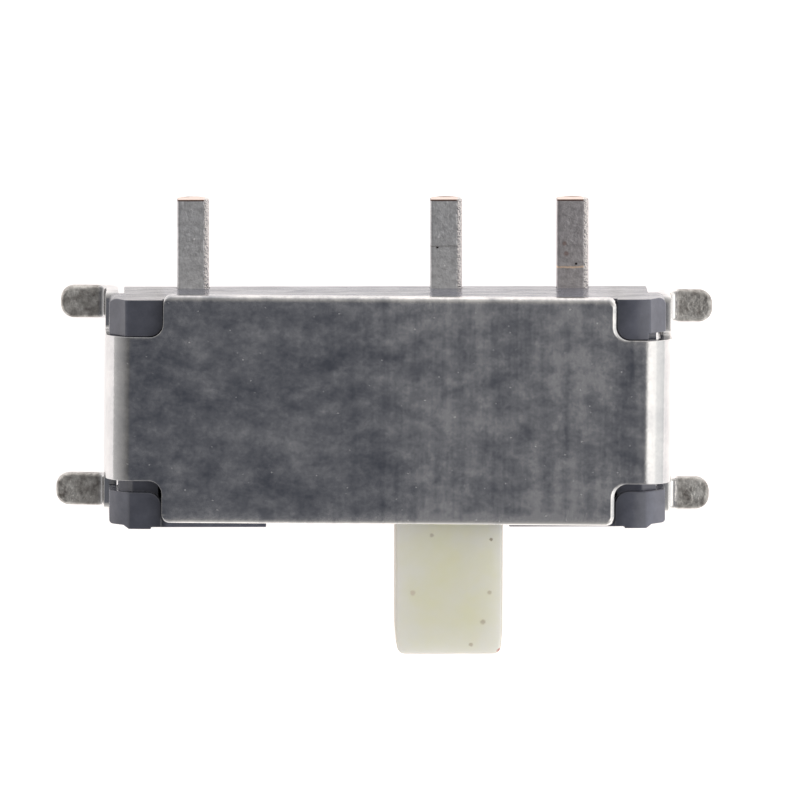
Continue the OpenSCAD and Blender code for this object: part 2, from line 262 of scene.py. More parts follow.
class Solid:
    """A closed surface in millimetres, before it becomes a piece."""

    def __init__(self, mesh: bpy.types.Mesh) -> None:
        """Keeps a mesh.

        Args:
            mesh: a mesh in millimetres.
        """
        self.mesh = mesh

    @classmethod
    def from_rings(cls, rings: np.ndarray) -> "Solid":
        """A surface through rings of points, with its first and last ring filled flat.

        Point i of ring j joins point i of ring j + 1, and the last point of a ring joins its first.

        Args:
            rings: the points, rings by points by 3. Seen from the last ring, they run anticlockwise.

        Returns:
            The closed surface.
        """
        count, around = rings.shape[:2]
        index = np.arange(count * around).reshape(count, around)
        ahead = np.roll(index, -1, axis=1)
        quads = np.stack([index[:-1], ahead[:-1], ahead[1:], index[1:]], axis=-1).reshape(-1, 4)
        faces = quads.tolist() + [index[0, ::-1].tolist(), index[-1].tolist()]
        mesh = bpy.data.meshes.new("solid")
        mesh.from_pydata(rings.reshape(-1, 3), [], faces)
        solid = cls(mesh)
        solid.weld()
        return solid

    @classmethod
    def prism(cls, path: Path, low: float, high: float, axis: Axis = Axis.Z) -> "Solid":
        """An outline drawn out straight along an axis.

        Args:
            path: the outline.
            low: where the solid begins along the axis.
            high: where it ends.
            axis: the axis. The outline lies in the other two, in their order.

        Returns:
            The closed surface.
        """
        flat = np.repeat(path.points[None], 2, axis=0)
        along = np.broadcast_to(np.array([low, high])[:, None, None], (2, len(path.points), 1))
        drawn = np.concatenate([flat, along], axis=2)
        rings = np.empty_like(drawn)
        rings[..., list(axis.value)] = drawn
        if axis is Axis.Y:
            rings = rings[:, ::-1]
        return cls.from_rings(rings)

    @classmethod
    def box(cls, low: Sequence[float], high: Sequence[float]) -> "Solid":
        """A block between two corners, for joining and cutting.

        Args:
            low: the lowest corner.
            high: the highest corner.

        Returns:
            The block.
        """
        corners = [(low[0], low[1]), (high[0], low[1]), (high[0], high[1]), (low[0], high[1])]
        rings = np.array([[(x, y, z) for x, y in corners] for z in (low[2], high[2])])
        return cls.from_rings(rings)

    def weld(self) -> None:
        """Merges points that lie together, such as those of a corner that has shrunk to nothing."""
        with editing(self.mesh) as bm:
            bmesh.ops.remove_doubles(bm, verts=bm.verts, dist=WELD)
            bmesh.ops.dissolve_degenerate(bm, dist=WELD, edges=bm.edges)

    def combined(self, others: Sequence["Solid"], operation: str) -> "Solid":
        """Joins other solids to this one, cuts them away, or keeps what is common.

        Args:
            others: the other solids, used one after the other.
            operation: UNION, DIFFERENCE or INTERSECT.

        Returns:
            The new solid.
        """
        main = placed("main", self.mesh)
        tools = [placed("tool", other.mesh) for other in others]
        for tool in tools:
            step = main.modifiers.new("step", "BOOLEAN")
            step.object, step.operation, step.solver = tool, operation, "EXACT"
        mesh = evaluated_mesh(main)
        for used in [main, *tools]:
            bpy.data.objects.remove(used)
        return Solid(mesh)

    def bevelled(self, width: float, segments: int = 3) -> "Solid":
        """Rounds every sharp edge.

        Args:
            width: how far a rounding reaches onto each face.
            segments: steps across a rounding.

        Returns:
            The rounded solid.
        """
        with editing(self.mesh) as bm:
            bmesh.ops.remove_doubles(bm, verts=bm.verts, dist=WELD)
            bmesh.ops.dissolve_limit(bm, angle_limit=FLAT, verts=bm.verts, edges=bm.edges)
            sharp = [edge for edge in bm.edges if edge.calc_face_angle(0.0) >= SHARP]
            bmesh.ops.bevel(bm, geom=sharp, offset=width, offset_type="OFFSET", segments=segments,
                            profile=0.5, affect="EDGES", clamp_overlap=False)
            bmesh.ops.remove_doubles(bm, verts=bm.verts, dist=WELD)
        return self

    def shaded(self) -> "Solid":
        """Leans the shading normals towards the larger faces, so that the flat ones look flat.

        Returns:
            The same solid, with its own normals.
        """
        self.mesh.shade_smooth()
        with editing(self.mesh) as bm:
            for edge in bm.edges:
                edge.smooth = edge.calc_face_angle(0.0) < SHARP
        holder = placed("holder", self.mesh)
        step = holder.modifiers.new("step", "WEIGHTED_NORMAL")
        step.mode, step.weight, step.keep_sharp = "FACE_AREA", PULL, True
        self.mesh = evaluated_mesh(holder)
        bpy.data.objects.remove(holder)
        return self

    def points(self) -> np.ndarray:
        """The points of the surface.

        Returns:
            The points, n by 3.
        """
        found = np.empty(len(self.mesh.vertices) * 3)
        self.mesh.vertices.foreach_get("co", found)
        return found.reshape(-1, 3)

    def mark(self, name: str, points: np.ndarray, values: np.ndarray) -> None:
        """Stores a number for each point of the surface, from the rings that it was made of.

        Args:
            name: name of the attribute.
            points: the rings' points.
            values: the number at each point.
        """
        known, wanted = (np.round(places / (4 * WELD)).astype(int).tolist()
                         for places in (points.reshape(-1, 3), self.points()))
        found = {tuple(place): value for place, value in zip(known, values.ravel().tolist())}
        layer = self.mesh.attributes.new(name, "FLOAT", "POINT")
        layer.data.foreach_set("value", [found.get(tuple(place), 0.0) for place in wanted])

    def piece(self, name: str, material: bpy.types.Material) -> bpy.types.Object:
        """Turns the solid into a piece, in metres.

        Args:
            name: the piece's name.
            material: its material.

        Returns:
            The object.
        """
        self.mesh.transform(Matrix.Scale(MM, 4))
        self.mesh.name = name
        self.mesh.materials.append(material)
        return placed(name, self.mesh)


# ---- Materials ----


Socket = bpy.types.NodeSocket
Steps = Sequence[tuple[float, float]]
Spot = tuple[float, float, float, str]
Scratch = tuple[float, float, str]


def linear(code: str) -> tuple[float, float, float, float]:
    """Turns an sRGB colour into the linear values that shaders use.

    Args:
        code: the colour, such as "#c0ffee".

    Returns:
        Red, green, blue and an alpha of 1.
    """
    parts = np.array([int(code[i : i + 2], 16) for i in (1, 3, 5)]) / 255
    low, high = parts / 12.92, ((parts + 0.055) / 1.055) ** 2.4
    return (*np.where(parts <= 0.04045, low, high).tolist(), 1.0)


class Nodes:
    """A node tree that is being filled. Each helper gives the output of the node that it adds."""

    def __init__(self, tree: bpy.types.NodeTree) -> None:
        """Empties a tree.

        Args:
            tree: the tree.
        """
        tree.nodes.clear()
        self.tree = tree

    def add(self, kind: str, inputs: dict[Any, Any], **settings: Any) -> bpy.types.Node:
        """Adds a node, sets it up and links it.

        Args:
            kind: the node's type, after "ShaderNode".
            inputs: for each socket, by name or number, an output to link or a value to set.
            settings: the node's own properties.

        Returns:
            The node.
        """
        made = self.tree.nodes.new("ShaderNode" + kind)
        for key, value in settings.items():
            setattr(made, key, value)
        for key, value in inputs.items():
            if isinstance(value, Socket):
                self.tree.links.new(value, made.inputs[key])
            else:
                made.inputs[key].default_value = value
        return made

    def maths(self, operation: str, *values: Socket | float, **settings: Any) -> Socket:
        """Works out a sum, a product or the like.

        Args:
            operation: what is done.
            values: the numbers.
            settings: the node's own properties.

        Returns:
            The result.
        """
        return self.add("Math", dict(enumerate(values)), operation=operation, **settings).outputs[0]

    def vectors(self, operation: str, *values: Socket | tuple[float, ...]) -> Any:
        """Works out a vector operation.

        Args:
            operation: what is done.
            values: the vectors.

        Returns:
            The node's outputs.
        """
        return self.add("VectorMath", dict(enumerate(values)), operation=operation).outputs

    def remap(self, value: Socket, start: float, end: float, low: float = 0.0, high: float = 1.0,
              **settings: Any) -> Socket:
        """Carries a number from one range to another, and holds it there.

        Args:
            value: the number.
            start: where it gives low.
            end: where it gives high.
            low: the first end of the new range.
            high: its other end.
            settings: the node's own properties.

        Returns:
            The new number.
        """
        ends = {"From Min": start, "From Max": end, "To Min": low, "To Max": high}
        return self.add("MapRange", {"Value": value, **ends}, **settings).outputs[0]

    def ramp(self, share: Socket, steps: Steps, warmth: float = 1.0) -> Socket:
        """Gives the grey for a number from 0 to 1.

        Args:
            share: the number.
            steps: the numbers in order, each with its grey.
            warmth: how much redder than neutral the grey is.

        Returns:
            The grey.
        """
        made = self.add("ValToRGB", {0: share})
        marks = made.color_ramp.elements
        while len(marks) < len(steps):
            marks.new(0.5)
        for mark, (position, value) in zip(marks, steps):
            mark.position = position
            mark.color = (value * warmth, value, value / warmth, 1)
        return made.outputs[0]

    def blend(self, share: Socket | float, under: Socket | str, over: Any, **settings: Any) -> Socket:
        """Mixes two colours.

        Args:
            share: how much of the second shows.
            under: the first colour.
            over: the second colour.
            settings: the node's own properties.

        Returns:
            The mixed colour.
        """
        under, over = (linear(colour) if isinstance(colour, str) else colour for colour in (under, over))
        inputs = {FACTOR: share, COLOUR_A: under, COLOUR_B: over}
        return self.add("Mix", inputs, data_type="RGBA", **settings).outputs[COLOUR_OUT]

    def between(self, share: Socket, first: Socket | float, second: float) -> Socket:
        """Mixes two numbers.

        Args:
            share: how much of the second counts.
            first: the first number.
            second: the second number.

        Returns:
            The mixed number.
        """
        inputs = {FACTOR: share, NUMBER_A: first, NUMBER_B: second}
        return self.add("Mix", inputs, data_type="FLOAT").outputs[0]


class Finish(Nodes):
    """A material that is being made. Its place is the place on the piece, in millimetres."""

    def __init__(self, name: str) -> None:
        """Starts the material.

        Args:
            name: its name.
        """
        self.material = bpy.data.materials.new(name)
        self.material.use_nodes = True
        super().__init__(self.material.node_tree)
        self.place = self.add("TexCoord", {}).outputs["Object"]
        self.place = self.stretched((1 / MM,) * 3)

    def stretched(self, scale: Sequence[float], place: Socket | None = None, **more: Any) -> Socket:
        """Scales the place, which squeezes a pattern the other way.

        Args:
            scale: by how much, along X, Y and Z.
            place: another place to start from.
            more: the node's other inputs.

        Returns:
            The scaled place.
        """
        return self.add("Mapping", {"Vector": place or self.place, "Scale": scale, **more}).outputs[0]

    def axes(self, vector: Socket | None = None) -> Any:
        """Parts the place, or another vector.

        Args:
            vector: the vector.

        Returns:
            The outputs X, Y and Z.
        """
        return self.add("SeparateXYZ", {0: vector or self.place}).outputs

    def noise(self, size: float, detail: float, rough: float = 0.5, place: Socket | None = None) -> Socket:
        """Lays soft patches.

        Args:
            size: about how far apart they are.
            detail: how many finer layers they have.
            rough: how strong the finer layers are.
            place: another place to start from.

        Returns:
            A number about 0.5.
        """
        inputs = {"Vector": place or self.place, "Scale": 1 / size, "Detail": detail, "Roughness": rough}
        return self.add("TexNoise", inputs).outputs[0]

    def centred(self, value: Socket) -> Socket:
        """Takes a half from a number, so that noise swings about nothing.

        Args:
            value: the number.

        Returns:
            The number less a half.
        """
        return self.maths("SUBTRACT", value, 0.5)

    def shaken(self, scale: float, detail: float, reach: Sequence[float]) -> Socket:
        """Shifts the place at random, which makes an outline ragged.

        Args:
            scale: how close together the shifts are.
            detail: how many finer layers they have.
            reach: how far they go, along X, Y and Z.

        Returns:
            The shifted place.
        """
        noise = self.add("TexNoise", {"Vector": self.place, "Scale": scale, "Detail": detail})
        return self.vectors("MULTIPLY_ADD", noise.outputs["Color"], reach, self.place)[0]

    def spotted(self, colour: Socket, spot: Spot) -> Socket:
        """Lays a small ragged spot, seen from above, over a colour.

        Args:
            colour: the colour.
            spot: the spot's x, y, radius and colour.

        Returns:
            The colour with the spot.
        """
        x, y, radius, shade = spot
        shifted = self.shaken(0.8 / radius, 3.0, (radius, radius, 0))
        flat = self.vectors("MULTIPLY", shifted, (1, 1, 0))[0]
        away = self.vectors("DISTANCE", flat, (x + radius / 2, y + radius / 2, 0))["Value"]
        return self.blend(self.remap(away, radius, radius / 2), colour, shade)

    def bump(self, height: Socket) -> Socket:
        """Roughens the surface by a height, in metres.

        Args:
            height: the height.

        Returns:
            The surface's new normal.
        """
        return self.add("Bump", {"Height": height, "Strength": 1.0, "Distance": 1.0}).outputs[0]

    def done(self, inputs: dict[str, Any]) -> bpy.types.Material:
        """Ends the material.

        Args:
            inputs: what its shader is given.

        Returns:
            The material.
        """
        shader = self.add("BsdfPrincipled", inputs)
        self.add("OutputMaterial", {"Surface": shader.outputs[0]})
        return self.material


@dataclass(frozen=True)
class PlatedSteel:
    """Steel strip, tin plated, then stamped and folded.

    The eye gets a dark mirror of the room, clouded by patches a tenth of a millimetre across, with faint
    bands along Y where the strip rubbed, and small bright nicks. Along X the colour carries painted light
    and shade that follows the room's reflections, and the plate's front edge a painted highlight. The
    solder feet are duller and pitted.

    Attributes:
        rub: the least share of bands.
        rub_x: where the bands begin to grow, and where they are full.
        bend_x: where the bends' smooth metal begins, and where it is full.
        front_y: where the front edge's painted highlight begins, and where it is full.
        flap_x: where the fine grain ends.
        sheen: roughness of the dull plate and of the bright plate.
        painted_light: places along X, each with the painted light and shade of the plate there.
    """

    bright: str = "#fbf9f7"
    dull: str = "#a3a5ab"
    nicked: str = "#ececec"
    foot_bright: str = "#dcdad6"
    foot_dull: str = "#7d7874"
    foot_patch: float = 0.13
    cloud: float = 0.28
    patch: float = 1.1
    speckle: float = 0.06
    band: float = 0.13
    band_length: float = 3.0
    rub: float = 0.15
    rub_x: tuple[float, float] = (-0.9, 0.3)
    bend_x: tuple[float, float] = (3.02, 3.14)
    front_y: tuple[float, float] = (-1.16, -1.26)
    flap_x: tuple[float, float] = (3.28, 3.32)
    sheen: tuple[float, float] = (0.1, 0.19)
    nick_rough: float = 0.42
    foot_rough: float = 0.38
    grain: float = 0.035
    grain_depth: float = 0.0008
    nick_pitch: float = 0.2
    nick: float = 0.014
    pit: float = 0.05
    pit_depth: float = 0.014
    foot_from: float = 3.4
    foot_shift: float = 0.04
    painted_light: Steps = (
        (-3.37, 0.0), (-3.33, 0.42), (-3.27, 0.22), (-3.18, 0.2), (-3.05, 0.11), (-2.98, 0.03),
        (-2.4, 0.14), (-1.0, 0.2), (0.6, 0.49), (1.6, 0.49), (2.1, 0.56), (2.6, 0.54),
        (2.92, 0.32), (3.1, 0.55), (3.2, 0.5), (3.28, 0.24), (3.33, 0.42), (3.36, 0.78))
    painted_light_reach: float = 3.5
    base: float = 0.22
    front_highlight: float = 0.4

    def tone(self, made: Finish) -> Socket:
        """Brightness of the plating: broad patches, small clouds, speckle, bands that grow to the right, and
        painted light and shade along X that follows the room's reflections.

        The bends were rubbed smooth by the folding tool, and the plate's front edge gets a painted highlight.

        Args:
            made: the material.

        Returns:
            A number from about 0, dull, to 1, bright.
        """
        axes = made.axes()
        along = made.stretched((1 / self.band, 1 / self.band_length, 1.0), Location=(3.0, 0.0, 0.0))
        strength = made.remap(axes["X"], *self.rub_x, self.rub, 1.0)
        mottle = made.maths("MULTIPLY", made.centred(made.noise(1.0, 3.0, 0.6, along)), strength)
        squash = made.stretched((0.85, 1.15, 1.0), Rotation=(0, 0, 0.3))
        for source, weight in ((made.noise(self.cloud, 6.0, 0.66, squash), 1.9),
                               (made.noise(self.patch, 2.0), 0.9), (made.noise(self.speckle, 1.0), 0.4)):
            mottle = made.maths("MULTIPLY_ADD", made.centred(source), weight, mottle)
        # Painted light and shade along X, following the room's reflections in the plate and its bends
        reach = self.painted_light_reach
        steps = [(0.5 + x / (2 * reach), value) for x, value in self.painted_light]
        painted_shading = made.ramp(made.remap(axes["X"], -reach, reach), steps)
        flat = made.remap(made.maths("ABSOLUTE", axes["X"]), *self.bend_x, 1.0, 0.3)
        total = made.maths("MULTIPLY_ADD", mottle, flat, painted_shading)
        # A painted highlight along the plate's front edge
        front_highlight_tone = made.remap(axes["Y"], *self.front_y, self.base, self.base + self.front_highlight)
        return made.maths("ADD", total, front_highlight_tone, use_clamp=True)

    def nicks(self, made: Finish) -> Socket:
        """Small bright nicks, a few to the square millimetre.

        Args:
            made: the material.

        Returns:
            1 on a nick and 0 elsewhere.
        """
        shifted = made.shaken(12.0, 2.0, (0.05,) * 3)
        slant = made.stretched((0.75, 1.3, 0.0), shifted, Rotation=(0, 0, -0.25))
        inputs = {"Vector": slant, "Scale": 1 / self.nick_pitch}
        cells = made.add("TexVoronoi", inputs, voronoi_dimensions="2D")
        chosen = made.add("SeparateColor", {0: cells.outputs["Color"]}).outputs[0]
        share = self.nick / self.nick_pitch
        size = made.remap(chosen, 0.35, 1.0, 0.0, share)
        return made.remap(made.maths("SUBTRACT", size, cells.outputs["Distance"]), 0.0, 1.2 * share)

    def material(self) -> bpy.types.Material:
        """Builds the material.

        Returns:
            The material.
        """
        made = Finish("tin_plated_steel")
        axes = made.axes()
        tone, nicks = self.tone(made), self.nicks(made)
        plate = made.blend(nicks, made.blend(tone, self.dull, self.bright), self.nicked)
        blotch = made.remap(made.noise(self.foot_patch, 5.0, 0.7), 0.33, 0.67)
        solder = made.blend(blotch, self.foot_dull, self.foot_bright)
        reach = made.maths("ABSOLUTE", made.maths("SUBTRACT", axes["X"], self.foot_shift))
        foot = made.remap(reach, self.foot_from, self.foot_from + 0.05)
        rough = made.between(nicks, made.remap(tone, 0.0, 1.0, *self.sheen), self.nick_rough)
        rough = made.between(foot, rough, self.foot_rough)
        depth = made.remap(made.maths("ABSOLUTE", axes["X"]), *self.flap_x, self.grain_depth * MM, 0.0)
        fine = made.maths("MULTIPLY", made.noise(self.grain, 2.0), depth)
        pitted = made.maths("MULTIPLY", made.noise(self.pit, 3.0), foot)
        height = made.maths("MULTIPLY_ADD", pitted, self.pit_depth * MM, fine)
        return made.done({"Base Color": made.blend(foot, plate, solder), "Metallic": 1.0, "Roughness": rough,
                          "Normal": made.bump(height)})


@dataclass(frozen=True)
class TinnedCopper:
    """Copper alloy strip, tinned before it was sheared.

    The eye gets a dull, finely grained grey face, a bright rough side where the shears tore the tin, paler
    both as fresh tin and as a painted highlight, and bare copper with a dark lip on the cut end. The
    attribute "bare" is 0 on tin, 0.5 on the lip and 1 on copper.
    A scratch is its y, half width and colour, and a spot its x, y, radius and colour. Calm is the share of
    the tears' depth that the face keeps.
    """

    centre: float
    half: float
    tin: str = "#e3e3e5"
    shade: str = "#b9b9bb"
    # Paler torn tin, partly fresh metal and partly a painted highlight
    fresh_tin_and_highlight: str = "#efebe9"
    lip: str = "#5d4238"
    copper: str = "#ead9d0"
    grain: float = 0.07
    torn: float = 0.075
    tear: float = 0.035
    tear_depth: float = 0.09
    calm: float = 0.05
    tin_rough: float = 0.4
    torn_rough: float = 0.14
    scratches: tuple[Scratch, ...] = ()
    spots: tuple[Spot, ...] = ()

    def marks(self, made: Finish, colour: Socket) -> Socket:
        """Adds the spots, and the scratches across the face.

        Args:
            made: the material.
            colour: the colour of the tin.

        Returns:
            The colour with its marks.
        """
        for spot in self.spots:
            colour = made.spotted(colour, spot)
        across = made.axes(made.shaken(18.0, 3.0, (0.03,) * 3))["Y"]
        for y, half, shade in self.scratches:
            away = made.maths("ABSOLUTE", made.maths("SUBTRACT", across, y + 0.015))
            colour = made.blend(made.remap(away, half, half / 2), colour, shade)
        return colour

    def material(self) -> bpy.types.Material:
        """Builds the material.

        Returns:
            The material.
        """
        made = Finish("tinned_copper")
        tone = made.remap(made.noise(self.grain, 4.0, 0.65), *SPREAD)
        tin = self.marks(made, made.blend(tone, self.shade, self.tin))
        bare = made.add("Attribute", {}, attribute_name="bare").outputs["Fac"]
        lipped = made.blend(made.remap(bare, 0.2, 0.5), tin, self.lip)
        colour = made.blend(made.remap(bare, 0.5, 0.9), lipped, self.copper)
        off = made.maths("SUBTRACT", made.axes()["X"], self.centre + self.half - self.torn)
        torn = made.remap(off, 0.0, 0.03, interpolation_type="SMOOTHSTEP")
        tears = made.centred(made.noise(self.tear, 2.0, 0.7))
        height = made.maths("MULTIPLY", tears, made.between(torn, self.calm, 1.0))
        bump = made.bump(made.maths("MULTIPLY", height, self.tear_depth * MM))
        # The torn side's paler colour is fresh tin and a painted highlight
        return made.done({"Base Color": made.blend(torn, colour, self.fresh_tin_and_highlight), "Metallic": 1.0,
                          "Roughness": made.between(torn, self.tin_rough, self.torn_rough), "Normal": bump})


@dataclass(frozen=True)
class BlackPlastic:
    """Glass-filled moulded nylon, black.

    The eye gets a faintly blue black that mirrors the light at a glancing view, with soft ripples where the
    mould pulled away, and pale dusty streaks along the walls that also paint a sheen on the glancing back
    wall. The posts carry painted shade towards the plate and painted light at their ends, most of all the
    right ones towards the lamp, and the tray between them is painted lighter. The painted light's steps
    are a distance from the middle, and how bright the plastic is painted there. A face is a wall by how
    little it looks up.
    """

    colour: str = "#4f515b"
    pale: str = "#62646f"
    ripple: float = 0.25
    ripple_depth: float = 0.003
    # Pale dusty streaks, which also paint a sheen on the glancing back wall
    dust_and_sheen: str = "#a9a5a4"
    dust_and_sheen_share: float = 0.2
    dust_rough: float = 0.5
    ior: float = 1.6
    wall: tuple[float, float] = (0.6, 0.2)
    sheen: tuple[float, float] = (0.08, 0.2)
    streak: tuple[float, float, float] = (0.45, 1.0, 0.1)
    light_and_shade_left: Steps = ((2.6, 1.5), (2.67, 0.55), (2.86, 0.95), (3.06, 1.0), (3.1, 1.35))
    light_and_shade_right: Steps = ((2.6, 1.7), (2.7, 0.75), (2.84, 1.2), (3.06, 1.55), (3.1, 1.65))
    light_and_shade_reach: float = 4.0

    def painted_light_and_shade(self, made: Finish) -> Socket:
        """Painted light and shade along X, from the plastic's left end to its right: painted shade near the
        plate, and painted light at the posts' ends and over the tray between them.

        Args:
            made: the material.

        Returns:
            A factor for the colour.
        """
        reach = self.light_and_shade_reach
        steps = [(-x, value) for x, value in reversed(self.light_and_shade_left)] + list(self.light_and_shade_right)
        return made.ramp(made.remap(made.axes()["X"], -reach, reach),
                         [(0.5 + x / (2 * reach), value) for x, value in steps])

    def material(self) -> bpy.types.Material:
        """Builds the material.

        Returns:
            The material.
        """
        made = Finish("black_moulded_nylon")
        cloud = made.noise(self.ripple, 5.0, 0.6)
        colour = made.blend(made.remap(cloud, *SPREAD), self.colour, self.pale)
        # Painted light and shade along X: painted shade near the plate, painted light at post ends and tray
        light_and_shade_colour = made.blend(1.0, colour, self.painted_light_and_shade(made), blend_type="MULTIPLY")
        facing = made.axes(made.add("NewGeometry", {}).outputs["Normal"])
        wall = made.remap(facing["Z"], *self.wall)
        drawn = made.stretched([1 / size for size in self.streak])
        dusty = made.remap(made.noise(1.0, 5.0, 0.65, drawn), 0.42, 0.7, 0.0, 0.6)
        share = made.maths("MULTIPLY", dusty, wall)
        # Pale dusty streaks on the walls, which also paint a sheen on the glancing back wall
        dust_and_sheen_colour = made.blend(made.maths("MULTIPLY", share, self.dust_and_sheen_share), light_and_shade_colour, self.dust_and_sheen)
        rough = made.between(share, made.remap(cloud, 0.0, 1.0, *self.sheen), self.dust_rough)
        bump = made.bump(made.maths("MULTIPLY", cloud, self.ripple_depth * MM))
        return made.done({"Base Color": dust_and_sheen_colour, "Roughness": rough, "Normal": bump, "IOR": self.ior})


@dataclass(frozen=True)
class IvoryPlastic:
    """Moulded acetal, undyed.

    The eye gets a waxy ivory that lets light in, with painted shade at the edges that look aside, faint
    clouds, a few pale brown specks, and a reddish nib at a corner. A spot is its x, y, radius and colour,
    and a face is an edge by how little it looks up.
    """

    pale: str = "#fbf9ee"
    warm: str = "#f8f5e1"
    # The greyer colour of the painted shade on the edges
    painted_shading: str = "#ddd6cb"
    cloud: float = 0.4
    depth: float = 0.46
    glow: tuple[float, float, float] = (1.0, 0.97, 0.88)
    rough: float = 0.4
    ior: float = 1.48
    edge: tuple[float, float] = (0.97, 0.6)
    spots: tuple[Spot, ...] = (
        (0.527, -1.481, 0.03, "#dcd7c8"), (1.228, -1.529, 0.024, "#bdb5a3"), (0.99, -2.786, 0.03, "#d8d2c2"),
        (1.133, -2.511, 0.04, "#dcd7c8"), (0.301, -2.164, 0.04, "#e8e1d2"), (1.211, -2.164, 0.032, "#dcd7c8"),
        (1.335, -2.865, 0.042, "#b77f7a"))

    def material(self) -> bpy.types.Material:
        """Builds the material.

        Returns:
            The material.
        """
        made = Finish("ivory_acetal")
        colour = made.blend(made.remap(made.noise(self.cloud, 4.0, 0.6), *SPREAD), self.warm, self.pale)
        facing = made.axes(made.add("NewGeometry", {}).outputs["Normal"])
        # Painted shade: the edges that look aside are greyer
        colour = made.blend(made.remap(facing["Z"], *self.edge), colour, self.painted_shading)
        for spot in self.spots:
            colour = made.spotted(colour, spot)
        return made.done({
            "Base Color": colour, "Roughness": self.rough, "IOR": self.ior, "Subsurface Weight": 1.0,
            "Subsurface Radius": self.glow, "Subsurface Scale": self.depth * MM})


@dataclass(frozen=True)
class SpringBronze:
    """Rolled phosphor bronze strip. The eye gets a fine-lined, warm yellow metal."""

    colour: str = "#c9a36a"
    line: float = 0.02
    sheen: tuple[float, float] = (0.2, 0.45)

    def material(self) -> bpy.types.Material:
        """Builds the material.

        Returns:
            The material.
        """
        made = Finish("rolled_bronze")
        lines = made.noise(1.0, 3.0, 0.5, made.stretched((1.0, 1 / self.line, 1.0)))
        rough = made.remap(lines, 0.0, 1.0, *self.sheen)
        return made.done({"Base Color": linear(self.colour), "Metallic": 1.0, "Roughness": rough})


# ---- Pieces ----


